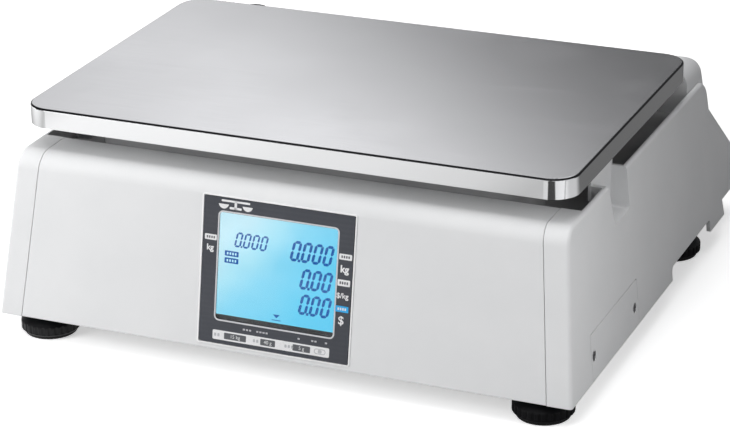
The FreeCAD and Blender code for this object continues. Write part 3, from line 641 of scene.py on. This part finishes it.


# ---- Painted shade under the customer's display -------------------------------------------------
# A black card lies along the lower edge of the customer's glass as painted shade: it stands for the
# dark recess seen there. Its lower edge stands above the window's, so a dark band shows under the
# lit field.
def painted_shade_card():
    """Matt black card with short fibres, laid as painted shade."""
    made, tree, shader = fresh_material("painted_shade_card")
    place = add(tree, "TexCoord").outputs["Object"]
    fibres = add(tree, "TexNoise", {"Vector": place, "Scale": 1400.0, "Detail": 3.0}).outputs["Fac"]
    black = shade_between(tree, fibres, (0.012, 0.012, 0.014), (0.03, 0.03, 0.033))
    tree.links.new(black, shader.inputs["Base Color"])
    tree.links.new(spread(tree, fibres, 0.3, 0.7, 0.6, 0.8), shader.inputs["Roughness"])
    return made


shade_card = painted_shade_card()
bm = bmesh.new()
# Painted shade: a black band under the customer's lit field, standing for its dark recess.
tile(bm, 0, -36.7, 92.0, 7.6, 0.3, LCD_FACE - 0.02, LCD_FACE + 0.14)
piece(bm, "customer_shade_band", glass, "base", shade_card)


# ---- Light guides -------------------------------------------------------------------------------
# A white acrylic block behind each glass carries its lamps.
light_guide = moulded_plastic("light_guide", (0.88, 0.90, 0.91), (0.84, 0.86, 0.88), 0.3, edge=0.0004)
dress(light_guide, "customer_backlight", "operator_backlight")


# ---- Operator's overlay -------------------------------------------------------------------------
# One embossed polyester film covers the console's slope: preset pads in the middle, function pads
# at one end, and cut-outs for the travelling keys and the window. It is printed from behind.
SLOPE = math.atan2(56.8, 65.0)
slope_out = Vector((0, math.sin(SLOPE), math.cos(SLOPE)))
console = on_panel("operator_lens", Vector((-1, 0, 0)), slope_out)
console.translation.x = 0
FILM_FACE = 0.3
PAD_FACE = 0.7


def overlay_film():
    """Textured film over print: blue-grey with a paler band behind the presets."""
    made, tree, shader = fresh_material("overlay_film")
    skin = place_group(tree, moulded_skin, Grain=1500.0, Clouds=12.0)
    worn = place_group(tree, worn_edge, Radius=0.0005)
    touched = place_group(tree, handled, Smears=22.0)
    place = add(tree, "TexCoord").outputs["Object"]
    across = add(tree, "SeparateXYZ", {0: place}).outputs["X"]
    presets = product(tree, spread(tree, across, -0.0408, -0.0402), spread(tree, across, 0.0612, 0.0606))
    field = shade_between(tree, presets, (0.60, 0.63, 0.66), (0.70, 0.72, 0.735))
    rubbed = spread(tree, worn["Wear"], 0, 1, 0, 0.4)
    worn_field = shade_between(tree, rubbed, field, (0.86, 0.87, 0.88))
    tree.links.new(shade_between(tree, skin["Cloud"], worn_field, field), shader.inputs["Base Color"])
    tree.links.new(spread(tree, touched["Smear"], 0, 1, 0.4, 0.24), shader.inputs["Roughness"])
    raise_skin(tree, shader, skin["Height"], 0.00004, 0.4, worn["Normal"])
    return made


dress(overlay_film(), "console_overlay")
PRESET_PITCH = (16.0, 13.5)
FUNCTION_PITCH = (19.0, 16.5)
FILM = (FILM_FACE - 0.02, FILM_FACE + 0.05)
PAD = (PAD_FACE - 0.02, PAD_FACE + 0.05)
PRESET_X = -10.0
FUNCTION_X = 141.0
KEYS_X = 78.0

bm = bmesh.new()
for row in range(5):
    for column in range(6):
        x = PRESET_X + (column - 2.5) * PRESET_PITCH[0]
        y = (2 - row) * PRESET_PITCH[1]
        letter(bm, str(row * 6 + column + 1), x - 3.6, y + 2.6, 2.4, *PAD)
        band(bm, x, y, 12.6, 9.8, 1.4, 0.25, *PAD)
piece(bm, "preset_legends", console, "base", grey_ink)

bm = bmesh.new()
signs = (("+", "-", "x"), (">0<", ">T<", "="), ("#", "%", "*"), ("<", ">", "/"))
for row, line in enumerate(signs):
    for column, sign in enumerate(line):
        x = FUNCTION_X + (column - 1) * FUNCTION_PITCH[0]
        y = (1.5 - row) * FUNCTION_PITCH[1]
        letter(bm, sign, x, y + 0.4, 4.2, PAD[0] + 0.1, PAD[1] + 0.1)
piece(bm, "function_legends", console, "base", white_ink)

bm = bmesh.new()
for row in range(4):
    for column in range(3):
        x = FUNCTION_X + (column - 1) * FUNCTION_PITCH[0]
        y = (1.5 - row) * FUNCTION_PITCH[1]
        tile(bm, x, y, 15.2, 11.7, 1.6, PAD_FACE + 0.08, PAD_FACE + 0.13)
slate_blue_ink = printed_ink("slate_blue_ink", (0.07, 0.16, 0.27))
piece(bm, "function_fields", console, "base", slate_blue_ink)

bm = bmesh.new()
band(bm, PRESET_X, 0, 99.5, 70.5, 2.5, 0.4, *FILM)
band(bm, KEYS_X, 0, 55.0, 70.5, 2.5, 0.4, *FILM)
band(bm, FUNCTION_X, 0, 60.0, 70.5, 2.5, 0.4, *FILM)
band(bm, -118.0, 0, 97.0, 63.0, 2.8, 1.6, *FILM)
piece(bm, "overlay_lines", console, "base", grey_ink)


# ---- Operator's digits --------------------------------------------------------------------------
# The operator's glass carries three readings in a column, each with its unit beside it.
low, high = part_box("operator_lcd")
dress(lit_glass("operator_field", (high.x, low.y, high.z), (low.x, high.y, low.z)), "operator_lcd")
operator_glass = on_panel("operator_lcd", Vector((-1, 0, 0)), slope_out)
bm = bmesh.new()
for y, point in ((10.4, 1), (-5.6, 2), (-21.6, 2)):
    reading(bm, 24.0, y, 5, point, 5.7, 12.0, 7.2, 1.5, *LIT)
for y in (16.0, 0.0):
    letter(bm, "kg", 34.5, y, 4.0, *LIT, 0.12)
letter(bm, "$", 33.4, -15.8, 4.6, *LIT, 0.08)
piece(bm, "operator_digits", operator_glass, "base", segment_blue)
bm = bmesh.new()
for y in (16.5, 10.5, 4.5):
    band(bm, -34.5, y, 10.0, 4.0, 0.6, 1.2, *LIT)
    tile(bm, -34.5, y, 4.6, 0.8, 0.2, *LIT)
piece(bm, "operator_tags", operator_glass, "base", segment_blue)


# ---- Number keys --------------------------------------------------------------------------------
# Twelve travelling caps, two-shot moulded, with pad-printed figures.
def cap_plastic(name, colour, deep):
    """A key cap's fine satin plastic."""
    return moulded_plastic(name, colour, deep, 0.38, grain=3200.0, edge=0.0005)


key_cap = cap_plastic("key_cap", (0.80, 0.80, 0.79), (0.76, 0.76, 0.75))
clear_cap = cap_plastic("clear_cap", (0.62, 0.12, 0.07), (0.56, 0.10, 0.06))
KEY_FACE = 4.0
figure_ink = printed_ink("figure_ink", (0.05, 0.055, 0.07))
for name in sorted(n for n in cad if n.startswith("key_") and n != "key_mat"):
    figure = name.split("_")[1]
    dress(clear_cap if figure == "clear" else key_cap, name)
    bm = bmesh.new()
    letter(bm, "C" if figure == "clear" else figure, 0, 0.2, 5.4, KEY_FACE - 0.02, KEY_FACE + 0.04)
    seat = on_panel(name, Vector((-1, 0, 0)), slope_out)
    ink = white_ink if figure == "clear" else figure_ink
    piece(bm, name + "_figure", seat, name, ink)


# ---- Key mat and pads ---------------------------------------------------------------------------
# Silicone and black nitrile: the mat's domes under the keys, the four pads under the pan, and the
# soles that are glued to the levelling feet.
def rubber(name, colour, rough):
    """Matt rubber that holds dust and scuffs pale at its edges."""
    made, tree, shader = fresh_material(name)
    skin = place_group(tree, moulded_skin, Grain=1800.0, Clouds=60.0)
    worn = place_group(tree, worn_edge, Radius=0.0005)
    touched = place_group(tree, handled)
    pale = tuple(c + 0.05 for c in colour)
    body = shade_between(tree, spread(tree, skin["Cloud"], 0, 1, 0, 0.25), colour, pale)
    scuffed = shade_between(tree, spread(tree, worn["Wear"], 0, 1, 0, 0.35), body, (0.22, 0.21, 0.20))
    dust = spread(tree, touched["Dust"], 0, 1, 0, 0.3)
    tree.links.new(shade_between(tree, dust, scuffed, (0.3, 0.29, 0.27)), shader.inputs["Base Color"])
    tree.links.new(spread(tree, skin["Cloud"], 0, 1, rough, rough - 0.12), shader.inputs["Roughness"])
    raise_skin(tree, shader, skin["Height"], 0.00006, 0.5, worn["Normal"])
    return made


FEET = ("left_front", "right_front", "left_rear", "right_rear")
dress(rubber("black_rubber", (0.018, 0.018, 0.019), 0.72), "pan_pads", *["foot_sole_" + f for f in FEET])
dress(rubber("key_silicone", (0.42, 0.43, 0.44), 0.6), "key_mat")


# ---- Levelling feet -----------------------------------------------------------------------------
# A black nylon grip with a fluted rim is moulded round a zinc-plated stud. The stud runs up into a
# brass insert in the tray.
KNOB_HEIGHT = 0.0126
THREAD_PITCH = 0.00125


def foot_finish():
    """Glossy nylon below the stud, threaded steel above the knob's shoulder."""
    made, tree, shader = fresh_material("foot_finish")
    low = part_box("foot_knob_left_front")[0]
    place = add(tree, "TexCoord").outputs["Object"]
    height = add(tree, "SeparateXYZ", {0: place}).outputs["Z"]
    shoulder = low.z + KNOB_HEIGHT
    steel = spread(tree, height, shoulder - 0.0001, shoulder + 0.0001)
    skin = place_group(tree, moulded_skin, Grain=1700.0, Clouds=70.0)
    worn = place_group(tree, worn_edge, Radius=0.0005)
    cloud = spread(tree, skin["Cloud"], 0, 1, 0, 0.3)
    nylon = shade_between(tree, cloud, (0.006, 0.006, 0.007), (0.02, 0.02, 0.021))
    rubbed = shade_between(tree, spread(tree, worn["Wear"], 0, 1, 0, 0.2), nylon, (0.05, 0.05, 0.05))
    tree.links.new(shade_between(tree, steel, rubbed, (0.62, 0.61, 0.58)), shader.inputs["Base Color"])
    tree.links.new(steel, shader.inputs["Metallic"])
    shader.inputs["Specular IOR Level"].default_value = 0.3
    tree.links.new(spread(tree, skin["Cloud"], 0, 1, 0.40, 0.30), shader.inputs["Roughness"])
    thread = product(tree, height, math.tau / THREAD_PITCH)
    wave = add(tree, "Math", {0: thread}, operation="SINE").outputs[0]
    fine = {"Height": skin["Height"], "Distance": 0.00005, "Strength": 0.6, "Normal": worn["Normal"]}
    grain = add(tree, "Bump", fine).outputs[0]
    raise_skin(tree, shader, product(tree, wave, steel), 0.0004, 1.0, grain)
    return made


dress(foot_finish(), *["foot_knob_" + f for f in FEET])


def plated(name, colour, rough, grime=0.25):
    """Turned or cast metal: fine tool marks, uneven plating, and a little grime in random patches."""
    made, tree, shader = fresh_material(name)
    shader.inputs["Metallic"].default_value = 1.0
    lines = place_group(tree, brushed, Across=1600.0, Along=300.0)
    worn = place_group(tree, worn_edge, Radius=0.0003)
    dull = tuple(c * (1 - grime) for c in colour)
    tone = shade_between(tree, lines["Shine"], dull, colour)
    bright = tuple(min(1.0, c * 1.15) for c in colour)
    tree.links.new(shade_between(tree, worn["Wear"], tone, bright), shader.inputs["Base Color"])
    uneven = spread(tree, lines["Shine"], 0, 1, rough + 0.1, rough - 0.05)
    tree.links.new(uneven, shader.inputs["Roughness"])
    raise_skin(tree, shader, lines["Height"], 0.00002, 0.4, worn["Normal"])
    return made


dress(plated("brass_insert", (0.72, 0.55, 0.27), 0.32), "foot_inserts")
dress(plated("zinc_screw", (0.60, 0.61, 0.62), 0.34), "housing_screws", "side_cover_screws")
dress(plated("steel_bolt", (0.52, 0.52, 0.53), 0.38), "load_cell_screws", "overload_stops")
dress(
    plated("cast_aluminium", (0.66, 0.67, 0.68), 0.48, 0.15),
    "load_cell", "load_cell_base_block", "load_cell_top_block", "weigh_platform",
)


# ---- Base tray ----------------------------------------------------------------------------------
# A dark grey tray closes the underside, ribbed for stiffness. Its battery door slides on two rails
# and carries a moulded arrow; a blank foil plate is stuck beside it.
tray_plastic = moulded_plastic(
    "tray_plastic", (0.085, 0.088, 0.093), (0.07, 0.072, 0.077), 0.5, depth=0.00005
)
dress(tray_plastic, "base_tray", "battery_door")
under_door = on_panel("battery_door", Vector((1, 0, 0)), Vector((0, 0, -1)))
DOOR_FACE = 1.1
TRAY_FACE = -2.1
bm = bmesh.new()
ARROW = (DOOR_FACE - 0.05, DOOR_FACE + 0.4)
tile(bm, 0, 3.0, 3.2, 12.0, 0.6, *ARROW)
head = [bm.verts.new((x, y, 0)) for x, y in ((-5.0, -3.2), (0, -9.0), (5.0, -3.2))]
raise_faces(bm, [bm.faces.new(head)], *ARROW)
piece(bm, "door_arrow", under_door, "battery_door", tray_plastic)
bm = bmesh.new()
tile(bm, 150, 20, 60, 36, 2, TRAY_FACE - 0.02, TRAY_FACE + 0.12)
foil = plated("blank_foil", (0.72, 0.73, 0.74), 0.4, 0.1)
piece(bm, "blank_plate", under_door, "base", foil)


# ---- Sockets and power switch -------------------------------------------------------------------
# Black nylon parts snap into the left wall: the mains inlet with its two pins, two data sockets, and
# a rocker switch with white signs.
black_nylon = moulded_plastic(
    "black_nylon", (0.020, 0.020, 0.022), (0.014, 0.014, 0.016), 0.36, edge=0.0004
)
dress(black_nylon, "power_inlet", "switch_frame", "power_rocker", "data_ports", "level_cup")
WALL_LEAN = math.radians(5.45)
wall_out = Vector((-math.cos(WALL_LEAN), 0, math.sin(WALL_LEAN)))
rocker = on_panel("power_rocker", Vector((0, -1, 0)), wall_out)
bm = bmesh.new()
tile(bm, -4.2, 0, 0.9, 4.4, 0.2, 3.4, 4.25)
band(bm, 4.5, 0, 4.2, 4.2, 2.05, 0.7, 1.9, 2.85)
piece(bm, "rocker_signs", rocker, "power_rocker", white_ink)
inlet = on_panel("power_inlet", Vector((0, -1, 0)), wall_out)
bm = bmesh.new()
for x in (-5.0, 5.0):
    for root, tip, depth, middle in ((1.3, 1.3, 12.0, -0.8), (1.3, 0.8, 1.0, 5.7)):
        pin = bmesh.ops.create_cone(
            bm, cap_ends=True, segments=28, radius1=root, radius2=tip, depth=depth
        )["verts"]
        bmesh.ops.translate(bm, vec=(x, 0, middle), verts=pin)
piece(bm, "inlet_pins", inlet, "base", plated("pin_plating", (0.80, 0.80, 0.79), 0.25, 0.1))


# ---- Boards, pack and flat cables ---------------------------------------------------------------
# Glass-fibre boards with green resist, a sealed battery pack in shrink sleeve, and grey flat cable.
def circuit_board():
    """Green resist over copper tracks, with pale dots of solder."""
    made, tree, shader = fresh_material("circuit_board")
    place = add(tree, "TexCoord").outputs["Object"]
    tracks = add(tree, "TexBrick", {"Vector": place, "Scale": 190.0, "Mortar Size": 0.03})
    green = shade_between(tree, tracks.outputs["Fac"], (0.012, 0.11, 0.055), (0.02, 0.19, 0.10))
    dots = add(tree, "TexVoronoi", {"Vector": place, "Scale": 320.0, "Randomness": 0.35})
    solder = spread(tree, dots.outputs["Distance"], 0.13, 0.10)
    tree.links.new(shade_between(tree, solder, green, (0.62, 0.63, 0.62)), shader.inputs["Base Color"])
    tree.links.new(solder, shader.inputs["Metallic"])
    tree.links.new(spread(tree, tracks.outputs["Fac"], 0, 1, 0.38, 0.25), shader.inputs["Roughness"])
    return made


dress(circuit_board(), "main_board", "power_board", "keypad_board", "customer_board")
shrink_sleeve = moulded_plastic("shrink_sleeve", (0.03, 0.07, 0.16), (0.02, 0.05, 0.12), 0.28, grain=500.0)
dress(shrink_sleeve, "battery_pack")
flat_cable = moulded_plastic("flat_cable", (0.45, 0.46, 0.48), (0.38, 0.39, 0.41), 0.5, grain=1200.0)
dress(flat_cable, "ribbon_cables")


# ---- Spirit level -------------------------------------------------------------------------------
# A round acrylic vial in the ridge holds yellow-green spirit, a bubble, and a black ring on top.
def spirit():
    """Yellow-green spirit under a clear coat."""
    made, tree, shader = fresh_material("spirit")
    place = add(tree, "TexCoord").outputs["Object"]
    haze = add(tree, "TexNoise", {"Vector": place, "Scale": 160.0, "Detail": 2.0}).outputs["Fac"]
    tint = shade_between(tree, haze, (0.50, 0.78, 0.08), (0.66, 0.88, 0.16))
    tree.links.new(tint, shader.inputs["Base Color"])
    shader.inputs["Roughness"].default_value = 0.06
    shader.inputs["Coat Weight"].default_value = 1.0
    return made


dress(spirit(), "level_vial")
low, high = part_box("level_vial")
vial_top = Matrix.Translation(((low.x + high.x) / 2, (low.y + high.y) / 2, high.z)) @ Matrix.Scale(0.001, 4)
bm = bmesh.new()
band(bm, 0, 0, 6.8, 6.8, 3.395, 0.4, -0.02, 0.06)
piece(bm, "level_ring", vial_top, "base", figure_ink)
bm = bmesh.new()
dome = bmesh.ops.create_uvsphere(bm, u_segments=32, v_segments=16, radius=2.2)
bmesh.ops.scale(bm, vec=(1, 1, 0.16), verts=dome["verts"])
bmesh.ops.translate(bm, vec=(0.5, -0.3, 0.0), verts=dome["verts"])
bubble = printed_ink("bubble", (0.80, 0.93, 0.50), 0.12)
piece(bm, "level_bubble", vial_top, "base", bubble, 60)


# ---- Floor, light and camera --------------------------------------------------------------------
# A pale sheet lies under the scale. One soft box stands to the front left, a small one fills the
# right side, a large one hangs overhead, and the air is a soft grey.
def studio_floor():
    """A wide sheet that looks even from above, and shows the studio's light and dark in the pan."""
    bm = bmesh.new()
    bmesh.ops.create_grid(bm, x_segments=1, y_segments=1, size=7.0)
    mesh = bpy.data.meshes.new("studio_floor")
    bm.to_mesh(mesh)
    bm.free()
    paper, tree, shader = fresh_material("studio_paper")
    shader.inputs["Roughness"].default_value = 0.9
    shader.inputs["Specular IOR Level"].default_value = 0.0
    place = add(tree, "TexCoord").outputs["Object"]
    grain = add(tree, "TexNoise", {"Vector": place, "Scale": 3.0, "Detail": 2.0}).outputs["Fac"]
    seen = shade_between(tree, grain, (0.93, 0.93, 0.93), (0.95, 0.95, 0.95))
    rays = add(tree, "LightPath").outputs
    across = add(tree, "SeparateXYZ", {0: place}).outputs
    slanted = product(tree, across["Y"], 0.15)
    dimming = add(tree, "Math", {0: across["X"], 1: slanted}, operation="ADD").outputs[0]
    levels = (
        (0.14, 0.95),
        (0.19, 0.55),
        (0.24, 0.30),
        (0.28, 0.58),
        (0.345, 0.578),
        (0.38, 0.547),
        (0.416, 0.534),
        (0.46, 0.47),
        (0.484, 0.34),
        (0.50, 0.45),
        (0.541, 0.50),
        (0.546, 0.04),
        (0.635, 0.04),
        (0.645, 0.13),
    )
    stops = [(position, (level, level, level)) for position, level in levels]
    graded = ramp_of(tree, spread(tree, dimming, -1.0, 1.0), stops)
    patch = product(tree, spread(tree, dimming, 0.27, 0.29), spread(tree, across["Y"], 0.17, 0.04))
    stripe = add(tree, "Math", {0: across["Y"], 1: -0.305, 2: 0.014}, operation="COMPARE").outputs[0]
    pale = shade_between(tree, stripe, (0.50, 0.50, 0.505), (0.27, 0.27, 0.275))
    shown = shade_between(tree, patch, graded, pale)
    mirrored = shade_between(tree, rays["Is Glossy Ray"], seen, shown)
    bounced = shade_between(tree, rays["Is Diffuse Ray"], mirrored, (0.38, 0.38, 0.38))
    tree.links.new(bounced, shader.inputs["Base Color"])
    tree.links.new(mirrored, shader.inputs["Emission Color"])
    lift = spread(tree, rays["Is Diffuse Ray"], 0, 1, 0.55, 0)
    tree.links.new(lift, shader.inputs["Emission Strength"])
    mesh.materials.append(paper)
    floor = bpy.data.objects.new("studio_floor", mesh)
    bpy.context.scene.collection.objects.link(floor)


def studio_air():
    """Soft grey air whose bright band, back left, lies across the pan as a sheen."""
    world = bpy.data.worlds.new("studio_air")
    bpy.context.scene.world = world
    world.use_nodes = True
    tree = world.node_tree
    air = tree.nodes["Background"]
    parts = add(tree, "SeparateXYZ", {0: add(tree, "TexCoord").outputs["Generated"]}).outputs
    raised = product(tree, parts["Z"], 1.04)
    left = add(tree, "Math", {0: raised, 1: parts["X"]}, operation="SUBTRACT").outputs[0]
    levels = (
        (0.10, 0.25),
        (0.18, 0.06),
        (0.373, 0.06),
        (0.427, 0.13),
        (0.453, 0.27),
        (0.48, 0.72),
        (0.507, 0.98),
        (0.527, 1.0),
        (0.553, 0.62),
        (0.653, 0.56),
        (0.707, 0.20),
        (0.833, 0.12),
    )
    stops = [(position, (level, level, level * 1.02)) for position, level in levels]
    graded = ramp_of(tree, spread(tree, left, 0.0, 1.5), stops)
    seen = add(tree, "LightPath").outputs["Is Camera Ray"]
    strength = spread(tree, parts["Z"], 0.30, 0.365, 0.72, 1.2)
    glow = add(tree, "VectorMath", {0: graded}, operation="SCALE")
    tree.links.new(strength, glow.inputs["Scale"])
    tree.links.new(shade_between(tree, seen, glow.outputs[0], (0.96, 0.96, 0.96)), air.inputs["Color"])


def soft_box(name, at, towards, size, power):
    """A square light that is seen neither by the camera nor in a reflection."""
    data = bpy.data.lights.new(name, "AREA")
    data.shape = "SQUARE"
    data.size = size
    data.energy = power
    box = bpy.data.objects.new(name, data)
    box.location = at
    box.rotation_mode = "QUATERNION"
    box.rotation_quaternion = (Vector(towards) - Vector(at)).to_track_quat("-Z", "Y")
    box.visible_glossy = False
    box.visible_camera = False
    bpy.context.scene.collection.objects.link(box)


studio_floor()
studio_air()
soft_box("front_left_box", (-0.85, -1.0, 0.6), (-0.25, -0.2, 0.08), 0.6, 10.6)
soft_box("side_box", (0.55, -0.25, 0.25), (-0.2, -0.90, 0.05), 0.2, 0.9)
soft_box("overhead_box", (-0.3, -0.4, 2.6), (0, 0, 0), 2.6, 34.0)

# The camera stands to the front right of the customer's side and looks down on the pan.
YAW, PITCH, ROLL = (math.radians(a) for a in (23.2, -22.34, -0.84))
view = Vector((-math.sin(YAW) * math.cos(PITCH), math.cos(YAW) * math.cos(PITCH), math.sin(PITCH)))
level = Vector((math.cos(YAW), math.sin(YAW), 0))
above = level.cross(view)
right = level * math.cos(ROLL) + above * math.sin(ROLL)
top = above * math.cos(ROLL) - level * math.sin(ROLL)
lens = bpy.data.cameras.new("camera")
lens.sensor_width = 36.0
lens.lens = 132.92
lens.clip_end = 50.0
camera = bpy.data.objects.new("camera", lens)
turned = Matrix((right, top, -view)).transposed().to_4x4()
camera.matrix_world = Matrix.Translation((0.66976, -1.60623, 0.75747)) @ turned
bpy.context.scene.collection.objects.link(camera)
bpy.context.scene.camera = camera
bpy.context.scene.view_settings.view_transform = "Standard"
